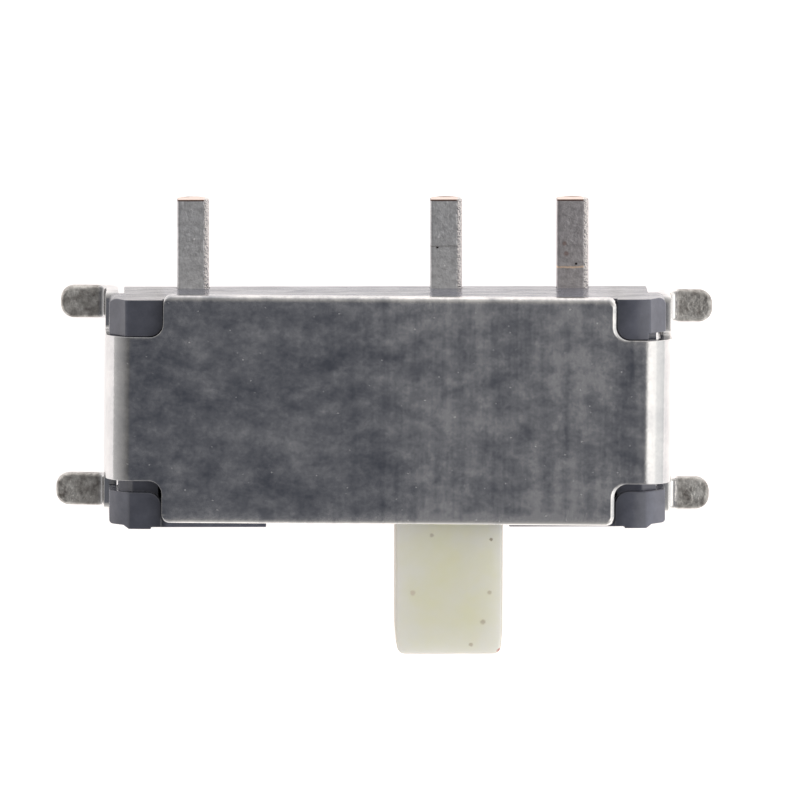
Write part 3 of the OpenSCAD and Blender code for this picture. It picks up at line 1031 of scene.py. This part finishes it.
@dataclass
class Cover:
    """The folded sheet: top plate, two flaps, four hooked arms and four solder feet.

    Attributes:
        shift: to the right, and back as its imaginary part.
        foot_short: what each foot lacks in length, anticlockwise from the right-hand back one.
        drawn_right: radius of the drawn-over edge where it faces right, and so on for the others.
        lean: width of the border that falls towards the edge.
        lean_back: how far the border falls at the back, and so on for the others.
    """

    body: float = 6.7
    depth: float = 2.708
    shift: complex = 0.014 + 0.035j
    turn: float = 0.5
    sheet: float = 0.15
    bend: float = 0.33
    foot_bend: float = 0.07
    flap: float = 1.71
    notch: float = 0.67
    notch_radius: float = 0.16
    corner_radius: float = 0.1
    small_radius: float = 0.05
    arm_top: float = 0.6
    flap_low: float = 0.28
    foot_width: float = 0.38
    foot_pitch: float = 2.24
    foot_reach: float = 0.545
    foot_corner: float = 0.16
    foot_short: tuple[float, float, float, float] = (0.039, 0.024, -0.012, 0.052)
    drawn_right: float = 0.046
    drawn_back: float = 0.04
    drawn_front: float = 0.026
    drawn_least: float = 0.006
    drawn_foot: float = 0.04
    lean: float = 0.09
    lean_back: float = 0.013
    lean_front: float = 0.008
    lean_notch: float = 0.0045
    burr: float = 0.01
    bend_steps: int = 16
    edge_steps: int = 6
    lean_steps: int = 8

    def __post_init__(self) -> None:
        """Works out the flat blank. Only the height comes from the frame, as the cover is turned there."""
        self.top = node_box("cover")[1][2]
        self.flap_x = self.body / 2
        self.bend_x = self.flap_x - self.bend
        self.foot_z = self.foot_bend + self.sheet
        neutral = self.bend - self.sheet / 2
        foot_neutral = self.foot_bend + self.sheet / 2
        self.s_flap = self.bend_x + neutral * math.pi / 2
        self.s_foot_bend = self.s_flap + self.top - self.bend - self.foot_z
        self.s_foot = self.s_foot_bend + foot_neutral * math.pi / 2
        self.s_end = self.s_foot + self.foot_reach - self.foot_bend

    def blank(self) -> Path:
        """Outline of the flat blank. Its first coordinate runs along the developed sheet.

        The four corners are alike, but for the length lost where each foot was cut from its carrier strip.

        Returns:
            The outline.
        """
        s_arm = self.s_flap + self.top - self.bend - self.arm_top
        s_low = self.s_flap + self.top - self.bend - self.flap_low
        s_notch = self.flap_x - self.notch
        foot_in = (self.foot_pitch - self.foot_width) / 2
        foot_out = (self.foot_pitch + self.foot_width) / 2
        outline = []
        for quarter, short in enumerate(self.foot_short):
            corners = [
                (s_low, foot_in, self.small_radius),
                (self.s_end - short, foot_in, self.foot_corner),
                (self.s_end - short, foot_out, self.foot_corner),
                (s_arm, foot_out, self.corner_radius),
                (s_arm, self.flap / 2, self.small_radius),
                (s_notch, self.flap / 2, self.notch_radius),
                (s_notch, self.depth / 2, self.corner_radius),
            ]
            along, across = ((1, 1), (-1, 1), (-1, -1), (1, -1))[quarter]
            turned = [(along * s, across * y, r) for s, y, r in corners]
            outline += turned if along == across else turned[::-1]
        return rounded_path(outline, self.lean + SUPPORT)

    def edge_rings(self, path: Path) -> np.ndarray:
        """The blank's outline carried round the edge of the sheet, from its bottom face to its top face.

        The bottom edge is a quarter circle, and so is the top one, which the punch drew over: at an angle a
        it is inset by r (1 - cos a) and lies r (1 - sin a) deep. As the punch stood off the die's middle,
        the plate's radius is a least one plus a share of how far the edge faces right, and for the plate's
        long edges one of how far they face back or front. The plate also leans down towards its edges: by
        the edge's own fall times the square of one less the inset over the lean's width, and less as the
        outline turns aside.

        Args:
            path: the outline.

        Returns:
            Rings of points, rings by points by 3.
        """
        right, back = np.maximum(-path.inward.T, 0)
        front = np.maximum(path.inward[:, 1], 0)
        along, across, width = np.abs(path.points[:, 0]), path.points[:, 1], self.lean
        rear, fore = (side * across > self.depth / 2 - width for side in (1, -1))
        drawn = self.drawn_right * right + self.drawn_back * back * rear + self.drawn_front * front * fore
        on_plate, on_foot = along < self.s_flap, along > self.s_foot_bend
        drawn = self.drawn_least + on_plate * drawn + on_foot * self.drawn_foot
        notch = self.lean_notch * (1 - right) * on_plate
        leans = np.select([rear, fore], [self.lean_back * back**4, self.lean_front * front**4], notch)
        quarter = np.linspace(0, math.pi / 2, self.edge_steps + 1)[:, None]
        burr = np.full(len(drawn), self.burr)
        run = np.linspace(0, 1, self.lean_steps + 1)[1:, None]
        inset = np.vstack([burr + SUPPORT, burr * (1 - np.sin(quarter)), drawn * (1 - np.cos(quarter)),
                           drawn + (width - drawn) * run, np.full(len(drawn), width + SUPPORT / 2)])
        deep = np.vstack([np.full(len(drawn), self.sheet), self.sheet - burr * (1 - np.cos(quarter)),
                          drawn * (1 - np.sin(quarter)), np.zeros((len(run) + 1, len(drawn)))])
        sunk = leans * np.clip(1 - inset / width, 0, 1) ** 2 * (1 - deep / self.sheet)
        return np.array([np.column_stack([path.inset(i), -d]) for i, d in zip(inset, deep + sunk)])

    def fold(self, flat: np.ndarray) -> np.ndarray:
        """Folds points of the flat blank.

        Up to the bend line the sheet is flat. Round the first bend a point keeps its depth below the outer
        face, and turns by its distance past the bend line over the neutral radius. Then come the flap, the
        bend the other way about a centre outside the flap, and the flat foot. Seen from above, the folded
        sheet is then turned clockwise and shifted right and back: its place, as a complex number, times e to
        minus i times the turn, plus the shift.

        Args:
            flat: distance along the sheet, place across it and height, n by 3.

        Returns:
            The folded points, n by 3.
        """
        s, depth = np.abs(flat[:, 0]), -flat[:, 2]
        side = np.where(flat[:, 0] < 0, -1.0, 1.0)
        turn = (s - self.bend_x) / (self.bend - self.sheet / 2)
        back = (s - self.s_foot_bend) / (self.foot_bend + self.sheet / 2)
        radius, hollow = self.bend - depth, self.foot_bend + depth
        foot_centre, bend_z = self.flap_x + self.foot_bend, self.top - self.bend
        where = [s <= self.bend_x, s <= self.s_flap, s <= self.s_foot_bend, s <= self.s_foot]
        x = np.select(where, [s, self.bend_x + radius * np.sin(turn), self.flap_x - depth,
                              foot_centre - hollow * np.cos(back)], foot_centre + s - self.s_foot)
        z = np.select(where, [self.top - depth, bend_z + radius * np.cos(turn), bend_z - (s - self.s_flap),
                              self.foot_z - hollow * np.sin(back)], self.sheet - depth)
        turned = side * x + 1j * flat[:, 1]
        turned = turned * np.exp(-1j * math.radians(self.turn)) + self.shift
        return np.stack([turned.real, turned.imag, z], axis=1)

    def build(self) -> bpy.types.Object:
        """Stamps the blank, cuts it across at the bends, and folds it.

        Returns:
            The piece.
        """
        solid = Solid.from_rings(self.edge_rings(self.blank()))
        cuts = []
        for start, end, steps in ((self.bend_x, self.s_flap, self.bend_steps),
                                  (self.s_foot_bend, self.s_foot, self.bend_steps // 2)):
            cuts += [start - SUPPORT, *np.linspace(start, end, steps + 1), end + SUPPORT]
        with editing(solid.mesh) as bm:
            for cut in [side * c for c in cuts for side in (-1, 1)]:
                whole = [*bm.verts, *bm.edges, *bm.faces]
                bmesh.ops.bisect_plane(bm, geom=whole, dist=WELD, plane_co=(cut, 0, 0), plane_no=(1, 0, 0))
            bmesh.ops.triangulate(bm, faces=[f for f in bm.faces if len(f.verts) > 4])
        solid.mesh.vertices.foreach_set("co", self.fold(solid.points()).ravel())
        solid.mesh.shade_smooth()
        return solid.piece("cover_sheet", PlatedSteel().material())


class Position(Enum):
    """The three terminals: the CAD node of each, and how far it stands to the right of the first."""

    LEFT = ("terminal_left", 0.0)
    COMMON = ("terminal_common", 3.0)
    RIGHT = ("terminal_right", 4.5)


@dataclass
class Terminal:
    """One flat strip: outside on the board, a step up in the wall, and a pad inside.

    Attributes:
        tones: the tin's light and dark.
        scratches: as on the finish.
        spots: as on the finish.
        tip_near: how close to the tip the lens begins.
        tip_wear: distances from the tip, each with how bare the strip is there.
        point_pitch: the longest step between two points of the cross-section.
    """

    position: Position
    tones: tuple[str, str] = ("#dcdcde", "#b3b3b5")
    scratches: tuple[Scratch, ...] = ()
    spots: tuple[Spot, ...] = ()
    width: float = 0.38
    thick: float = 0.2
    step_start: float = 1.2
    step_run: float = 0.2
    rise: float = 0.17
    pad_half: float = 0.4
    rolled: float = 0.07
    edge: float = 0.03
    burr: float = 0.012
    tip_edge: float = 0.016
    bulge: float = 0.018
    tip_steps: int = 3
    tip_near: float = 0.05
    tip_wear: Steps = ((0.3, 0.0), (0.06, 0.0), (0.03, 0.15))
    point_pitch: float = 0.03
    clearance: float = 0.05

    def __post_init__(self) -> None:
        """Takes the strip's place from the frame."""
        self.node, offset = self.position.value
        low, high = node_box(self.node)
        first_low, first_high = node_box(Position.LEFT.value[0])
        self.pad = (low[0], high[0])
        self.centre = (first_low[0] + first_high[0]) / 2 + offset
        self.tip = high[1]
        self.step_end = self.step_start - self.step_run
        self.shift = self.thick * math.tan(math.atan(self.rise / self.step_run) / 2)

    def section(self) -> Path:
        """Cross-section, with the sheared edge's roll at the top right and small burrs below.

        Returns:
            The outline.
        """
        half = self.width / 2
        corners = [(-half, 0, self.burr), (half, 0, self.burr), (half, self.thick, self.rolled),
                   (-half, self.thick, self.edge)]
        return rounded_path(corners).divided(self.point_pitch)

    def rings(self) -> tuple[np.ndarray, np.ndarray]:
        """The cross-section carried along the strip, from the pad to the cut end.

        Each ring leans from its place along the bottom face to its place along the top face. At the tip the
        rings draw in round a small arc, and the cut face is a shallow lens: half way across, its foot stands
        out and its top stands back, falling to nothing at the sides as one less the square of the distance.

        Returns:
            The rings' points, and how bare each point is.
        """
        section = self.section()
        turn = np.linspace(0, math.pi / 2, self.tip_steps + 1)
        tip_run = self.tip - self.tip_edge * (1 - np.sin(turn))
        tip_inset = self.tip_edge * (1 - np.cos(turn))
        half, up, step = self.pad_half, self.rise, self.shift
        stations = [
            (-half, -half, up, True, self.burr, 0.0),
            (-half + self.burr, -half + self.burr, up, True, 0.0, 0.0),
            (half, half, up, True, 0.0, 0.0), (half + 2 * WELD, half + 2 * WELD, up, False, 0.0, 0.0),
            (self.step_end, self.step_end + step, up, False, 0.0, 0.0),
            (self.step_start, self.step_start + step, 0.0, False, 0.0, 0.0)]
        stations += [(self.tip - back, self.tip - back, 0.0, False, 0.0, share)
                     for back, share in self.tip_wear]
        stations += [(y, y, 0.0, False, inset, 0.5 + 0.5 * (i > 1))
                     for i, (y, inset) in enumerate(zip(tip_run, tip_inset))]
        made, bare = [], []
        for bottom, top, base, on_pad, inset, share in stations:
            flat = section.inset(inset)
            lean = flat[:, 1] / self.thick
            x = self.centre + flat[:, 0]
            if on_pad:
                x = self.pad[0] + (flat[:, 0] / self.width + 0.5) * (self.pad[1] - self.pad[0])
            y = bottom + (top - bottom) * lean
            if bottom > self.tip - self.tip_near:
                lens = 1 - (2 * flat[:, 0] / self.width) ** 2
                y = y - self.bulge * (1 - lens) - self.bulge * lens * lean
            made.append(np.stack([x, y, base + flat[:, 1]], axis=1))
            bare.append(np.full(len(x), share))
        return np.array(made), np.array(bare)

    def build(self) -> bpy.types.Object:
        """Builds the strip.

        Returns:
            The piece.
        """
        rings, bare = self.rings()
        solid = Solid.from_rings(rings[:, ::-1])
        solid.mark("bare", rings[:, ::-1], bare[:, ::-1])
        solid.mesh.shade_smooth()
        finish = TinnedCopper(self.centre, self.width / 2, *self.tones, scratches=self.scratches,
                              spots=self.spots)
        return solid.piece(self.node + "_strip", finish.material())

    def cutter(self) -> Solid:
        """The space that the strip takes up in the housing. It runs on below the board.

        Returns:
            The space, as a solid.
        """
        past = self.clearance
        slope = self.step_run / self.rise
        side = rounded_path([
            (0, self.rise, 0), (self.step_end, self.rise, 0), (self.step_start + past * slope, -past, 0),
            (self.tip, -past, 0), (self.tip, self.thick, 0), (self.step_start + self.shift, self.thick, 0),
            (self.step_end + self.shift, self.rise + self.thick, 0), (0, self.rise + self.thick, 0)])
        half = self.width / 2
        strip = Solid.prism(side, self.centre - half, self.centre + half, Axis.X)
        pad = Solid.box((self.pad[0], -self.pad_half, self.rise),
                        (self.pad[1], self.pad_half, self.rise + self.thick))
        return strip.combined([pad], "UNION")


@dataclass
class Housing:
    """The moulded tray: posts, cavity, slot for the knob, detent ridges and locating pegs.

    Attributes:
        crown: a post's crown: the run and fall of its slope, and the radius above it.
        post_x: the posts' inner walls: left front, left back, right front and right back.
        rear_y: the back posts' walls towards the middle, left and right.
        rear_reach: the right back post's ledge: its distance from the end, and its width.
        end_run: the front posts' end strips: the flat part, and where their slope ends.
        cavity: its length, width and floor.
        ridge: a detent ridge's distance from the middle, and its radius.
    """

    terminals: list[Terminal]
    rim: float = 1.25
    rim_chamfer: float = 0.167
    end: float = 3.1
    seat: float = 3.18
    shoulder: float = 0.63
    lead_in_run: float = 0.19
    front_lead_in: float = 0.045
    lead_in_fall: float = 0.25
    shelf_run: float = 0.11
    shelf_fall: float = 0.12
    crown: tuple[float, float, float] = (0.14, 0.0172, 1.44)
    brow: float = 0.04
    corner: float = 0.09
    post_x: tuple[float, float, float, float] = (2.681, 2.659, 2.691, 2.707)
    post_y: float = 0.939
    rear_y: tuple[float, float] = (0.918, 0.939)
    rear_reach: tuple[float, float] = (0.21, 0.07)
    front: float = 0.016
    post_radius: float = 0.16
    post_face: float = 0.49
    post_proud: float = 0.025
    end_back: float = 0.014
    end_run: tuple[float, float] = (0.166, 0.226)
    end_corner: float = 0.04
    cavity: tuple[float, float, float] = (5.42, 2.04, 0.35)
    slot_length: float = 2.87
    slot_in: float = 0.98
    ridge: tuple[float, float] = (1.5, 0.12)
    ridge_top: float = 0.4
    ridge_half: float = 0.4
    peg_radius: float = 0.375
    peg_pitch: float = 3.0
    peg_chamfer: float = 0.08
    edge: float = 0.012
    weld: float = 0.02
    over: float = 0.5

    def __post_init__(self) -> None:
        """Takes the overall sizes from the frame."""
        self.low, self.high = node_box("housing")
        self.back = self.high[1]
        self.top = self.high[2]
        self.shoulder_x = self.high[0]

    def tray(self) -> list[Solid]:
        """The longer block that the flaps lie against, and the wider one between the posts.

        Returns:
            The two blocks.
        """
        lip = self.seat - self.rim_chamfer
        section = rounded_path([
            (-self.seat, 0, 0), (self.seat, 0, 0), (self.seat, self.rim - self.rim_chamfer, 0),
            (lip, self.rim, 0), (-lip, self.rim, 0), (-self.seat, self.rim - self.rim_chamfer, 0)])
        wide = max(self.post_x) + self.post_radius
        return [
            Solid.prism(section, -self.post_y - self.weld, self.post_y + self.weld, Axis.Y),
            Solid.box((-wide, -self.back - self.front, 0), (wide, self.back, self.rim)),
        ]

    def post(self, right: bool, rear: bool) -> Solid:
        """A corner post: the front view of both ends, kept where the post stands.

        Args:
            right: whether it stands on the right.
            rear: whether it stands at the back.

        Returns:
            The post.
        """
        top, out = self.top, self.shoulder_x
        lead_in = out - self.lead_in_run - (0.0 if rear else self.front_lead_in)
        crown_run, crown_fall, crown_radius = self.crown
        half = [(self.end, 0, 0), (self.end, self.shoulder, 0), (out, self.shoulder, 0),
                (out, top - self.lead_in_fall, 0),
                (out - self.shelf_run, top - self.lead_in_fall + self.shelf_fall, 0),
                (lead_in, top - crown_fall, self.brow), (lead_in - crown_run, top, crown_radius)]
        section = half + [(-x, z, r) for x, z, r in reversed(half)]
        view = Solid.prism(rounded_path(section), -self.back - self.over, self.back + self.over, Axis.Y)
        inner, face, radius = self.post_x[2 * right + rear], self.back, self.post_radius
        if rear:
            near, (run, reach) = self.rear_y[right], self.rear_reach
            plan = [(inner, near, radius), (out, near, 0), (out, face, self.corner), (inner, face, 0)]
            if right:
                ledge = [(inner, near - reach, radius), (out - run, near - reach, 0), (out - run, near, 0)]
                plan = ledge + plan[1:]
        else:
            step, proud, end = out - self.post_face, face + self.post_proud, face - self.end_back
            flat, slope = self.end_run
            plan = [(inner, self.post_y, radius), (out, self.post_y, 0), (out, end, self.end_corner),
                    (out - flat, end, 0), (out - slope, proud, 0), (step, proud, 0), (step, face, 0),
                    (inner, face, 0)]
            plan = [(x, -y, r) for x, y, r in reversed(plan)]
        if not right:
            plan = [(-x, y, r) for x, y, r in reversed(plan)]
        column = Solid.prism(rounded_path(plan), -self.over, top + self.over)
        return view.combined([column], "INTERSECT")

    def peg(self, x: float) -> Solid:
        """A round locating peg: a circle carried up, narrower at its end.

        Args:
            x: place of its axis.

        Returns:
            The peg, which reaches a little way up into the tray.
        """
        section = circle(x, 0, self.peg_radius)
        foot = self.low[2]
        stations = [(self.peg_chamfer, foot), (0.0, foot + self.peg_chamfer), (0.0, self.weld)]
        rings = np.array([np.column_stack([section.inset(inset), np.full(len(section.points), z)])
                          for inset, z in stations])
        return Solid.from_rings(rings)

    def ridges(self) -> list[Solid]:
        """The two rounded detent ridges across the floor.

        Returns:
            The ridges, left and right.
        """
        reach, radius = self.ridge
        middle = self.ridge_top - radius
        return [Solid.prism(circle(x, middle, radius), -self.ridge_half, self.ridge_half, Axis.Y)
                for x in (-reach, reach)]

    def build(self) -> bpy.types.Object:
        """Moulds the housing.

        Returns:
            The piece.
        """
        block, middle = self.tray()
        posts = [self.post(right, rear) for right in (False, True) for rear in (False, True)]
        pegs = [self.peg(side * self.peg_pitch / 2) for side in (-1, 1)]
        length, width, floor = self.cavity
        cuts = [
            Solid.box((-length / 2, -width / 2, floor), (length / 2, width / 2, self.rim)),
            Solid.box((-self.slot_length / 2, -self.back - self.over, floor),
                      (self.slot_length / 2, -self.slot_in, self.top + self.over)),
            *[terminal.cutter() for terminal in self.terminals],
        ]
        body = block.combined([middle, *posts, *pegs], "UNION").combined(cuts, "DIFFERENCE")
        body = body.combined(self.ridges(), "UNION").bevelled(self.edge).shaded()
        return body.piece("housing_moulding", BlackPlastic().material())


@dataclass
class Slider:
    """The knob and the carriage that it grows out of, in one moulding.

    Attributes:
        carriage: its length and width.
        pocket: the length, width and ceiling of the space under the carriage.
        rivet: the radius and lower end of the stud that holds the contact.
    """

    carriage: tuple[float, float] = (3.9, 2.0)
    carriage_z: tuple[float, float] = (0.42, 1.23)
    knob_z: tuple[float, float] = (0.4, 1.15)
    knob_left: float = 0.653
    knob_right: float = 0.617
    knob_corner: float = 0.1
    taper: float = 0.025
    taper_run: float = 0.3
    pocket: tuple[float, float, float] = (3.4, 0.7, 0.84)
    rivet: tuple[float, float] = (0.14, 0.7)
    edge: float = 0.035
    edge_steps: int = 4
    knob_in: float = 0.1
    side_radius: float = 0.3
    weld: float = 0.02

    def build(self) -> bpy.types.Object:
        """Moulds the slider.

        Returns:
            The piece.
        """
        low, high = node_box("slider")
        x, tip = (low[0] + high[0]) / 2, low[1]
        run = tip + self.taper_run
        root = self.knob_in - self.carriage[1] / 2
        left, right = x - self.knob_left, x + self.knob_right
        plan = rounded_path([
            (left + self.taper, tip, self.knob_corner), (right - self.taper, tip, self.knob_corner),
            (right, run, self.side_radius), (right, root, 0), (left, root, 0), (left, run, self.side_radius)])
        knob = Solid.prism(plan, *self.knob_z).bevelled(self.edge, self.edge_steps)
        length, width = self.carriage
        carriage = Solid.box((x - length / 2, -width / 2, self.carriage_z[0]),
                             (x + length / 2, width / 2, self.carriage_z[1]))
        pocket_length, pocket_width, pocket_z = self.pocket
        pocket = Solid.box((x - pocket_length / 2, -pocket_width / 2, 0),
                           (x + pocket_length / 2, pocket_width / 2, pocket_z))
        radius, rivet_low = self.rivet
        rivet = Solid.prism(circle(x, 0, radius), rivet_low, pocket_z + self.weld)
        body = carriage.combined([pocket], "DIFFERENCE").combined([rivet], "UNION")
        body = body.bevelled(self.edge, self.edge_steps).combined([knob], "UNION").shaded()
        return body.piece("slider_moulding", IvoryPlastic().material())


# ---- Studio ----


@dataclass(frozen=True)
class Lamp:
    """A round soft lamp, or a round dark patch, in the distance.

    Attributes:
        tilt: degrees down from straight overhead.
        side: degrees round from +X towards +Y.
        spread: degrees from its middle to its rim.
        blur: degrees across its soft rim.
        colour: what it shows.
    """

    tilt: float
    side: float
    spread: float
    blur: float
    colour: tuple[float, float, float]


@dataclass
class Studio:
    """A long lens above a lit table, in a pale room with a dark ceiling and a soft lamp to the right.

    Attributes:
        sight: the nearest and the farthest that the camera sees.
        room_steps: degrees from the dimmest part, each with how bright the room is there.
    """

    lean_x: float = -1.55
    lean_y: float = 7.25
    roll: float = 0.1
    distance: float = 250.0
    view_width: float = 9.5
    sight: tuple[float, float] = (1.0, 10000.0)
    aim: tuple[float, float] = (0.178, -0.0115)
    table_drop: float = 0.001
    table_size: float = 600.0
    table_thick: float = 3.0
    table_colour: str = "#f2eeec"
    table_light: str = "#fffbf9"
    table_glow: float = 0.78
    table_rough: float = 0.6
    dim_tilt: float = 17.7
    dim_side: float = -163.6
    warmth: float = 1.02
    room_steps: Steps = (
        (0.0, 0.135), (10.0, 0.2), (28.0, 0.36), (47.0, 0.465), (57.0, 0.54), (68.0, 0.66), (79.0, 0.88),
        (92.0, 0.97), (HALF_TURN, 1.05))
    lamps: tuple[Lamp, ...] = (
        Lamp(9.4, -122.0, 17.0, 8.0, (0.135, 0.14, 0.157)),
        Lamp(58.0, -8.0, 34.0, 8.0, (0.96, 0.96, 0.95)),
        Lamp(88.0, -4.0, 14.0, 8.0, (0.92, 0.93, 0.92)),
        Lamp(31.3, -14.0, 22.9, 9.0, (1.24, 1.22, 1.19)),
    )

    def camera(self) -> None:
        """Sets up the camera."""
        tilt = Vector((math.sin(math.radians(self.lean_x)), math.sin(math.radians(self.lean_y)), 0))
        back = Vector((tilt.x, tilt.y, math.sqrt(1 - tilt.length_squared)))
        right = Vector((0, 1, 0)).cross(back).normalized()
        up = back.cross(right)
        turn = math.radians(self.roll)
        right, up = (right * math.cos(turn) + up * math.sin(turn),
                     up * math.cos(turn) - right * math.sin(turn))
        data = bpy.data.cameras.new("camera")
        data.lens = data.sensor_width * self.distance / self.view_width
        data.clip_start, data.clip_end = (end * MM for end in self.sight)
        made = placed("camera", data)
        place = (right * self.aim[0] + up * self.aim[1] + back * self.distance) * MM
        made.matrix_world = Matrix.Translation(place) @ Matrix((right, up, back)).transposed().to_4x4()
        bpy.context.scene.camera = made

    def table(self) -> None:
        """Lays the pale table just below the locating pegs. It glows, as a light table does."""
        high = node_box("housing")[0][2] - self.table_drop
        half = self.table_size / 2
        lit = Finish("lit_white_acrylic").done({
            "Base Color": linear(self.table_colour), "Roughness": self.table_rough,
            "Emission Color": linear(self.table_light), "Emission Strength": self.table_glow})
        block = Solid.box((-half, -half, high - self.table_thick), (half, half, high))
        block.piece("table", lit)

    def angle_from(self, made: Nodes, way: Socket, tilt: float, side: float) -> Socket:
        """Angle between the way that light comes from and a fixed direction.

        Args:
            made: the world's nodes.
            way: the direction of the light.
            tilt: degrees down from overhead.
            side: degrees round from +X towards +Y.

        Returns:
            The angle, in degrees.
        """
        fall, turn = math.radians(tilt), math.radians(side)
        aim = (math.sin(fall) * math.cos(turn), math.sin(fall) * math.sin(turn), math.cos(fall))
        along = made.vectors("DOT_PRODUCT", way, aim)["Value"]
        return made.maths("DEGREES", made.maths("ARCCOSINE", along))

    def room(self) -> None:
        """Lights the room: dark overhead, grey above, pale at the walls, with soft lamps."""
        world = bpy.data.worlds.new("room")
        bpy.context.scene.world = world
        world.use_nodes = True
        made = Nodes(world.node_tree)
        way = made.add("TexCoord", {}).outputs["Generated"]
        share = made.maths("DIVIDE", self.angle_from(made, way, self.dim_tilt, self.dim_side), HALF_TURN)
        steps = [(degrees / HALF_TURN, value) for degrees, value in self.room_steps]
        total = made.ramp(share, steps, self.warmth)
        for lamp in self.lamps:
            away = self.angle_from(made, way, lamp.tilt, lamp.side)
            disc = made.remap(away, lamp.spread, lamp.spread - lamp.blur, interpolation_type="SMOOTHSTEP")
            total = made.blend(disc, total, (*lamp.colour, 1))
        glow = made.add("Background", {"Color": total, "Strength": 1.0})
        made.add("OutputWorld", {"Surface": glow.outputs[0]})

    def build(self) -> None:
        """Sets the room up and shows colours as they are."""
        self.camera()
        self.table()
        self.room()
        bpy.context.scene.view_settings.view_transform = "Standard"


def hand_over(piece: bpy.types.Object, body: str, node: str) -> None:
    """Makes a piece stand for a CAD node.

    Args:
        piece: the piece.
        body: the body that it rides on.
        node: the node that it replaces.
    """
    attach(piece, body)
    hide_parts(node)
    LOG.info("%s: %d faces, for %s on %s", piece.name, len(piece.data.polygons), node, body)


def main() -> None:
    """Builds every piece in order and dresses it."""
    logging.basicConfig(level=logging.INFO, format="%(message)s")
    Studio().build()
    terminals = [
        Terminal(Position.LEFT, spots=((-2.13, 1.462, 0.04, "#5c5352"), (-2.27, 1.94, 0.014, "#f4f2f2"))),
        Terminal(Position.COMMON, scratches=((1.851, 0.007, "#a5a3a3"),),
                 spots=((0.612, 1.84, 0.02, "#2b2422"), (0.63, 1.96, 0.013, "#f4f2f2"),
                        (0.7, 1.62, 0.013, "#f4f2f2"))),
        Terminal(Position.RIGHT, ("#cac6c8", "#a29ea0"), scratches=((1.6, 0.015, "#ecd3bd"),),
                 spots=((2.26, 1.64, 0.02, "#2b2422"), (2.118, 1.878, 0.036, "#a0918e"),
                        (2.141, 1.759, 0.04, "#a0918e"))),
    ]
    hand_over(Housing(terminals).build(), "base", "housing")
    hand_over(Cover().build(), "base", "cover")
    for terminal in terminals:
        hand_over(terminal.build(), "base", terminal.node)
    hand_over(Slider().build(), "actuator", "slider")
    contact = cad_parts["moving_contact"]
    contact.data.materials.clear()
    contact.data.materials.append(SpringBronze().material())
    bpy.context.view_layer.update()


if __name__ == "__main__":
    main()
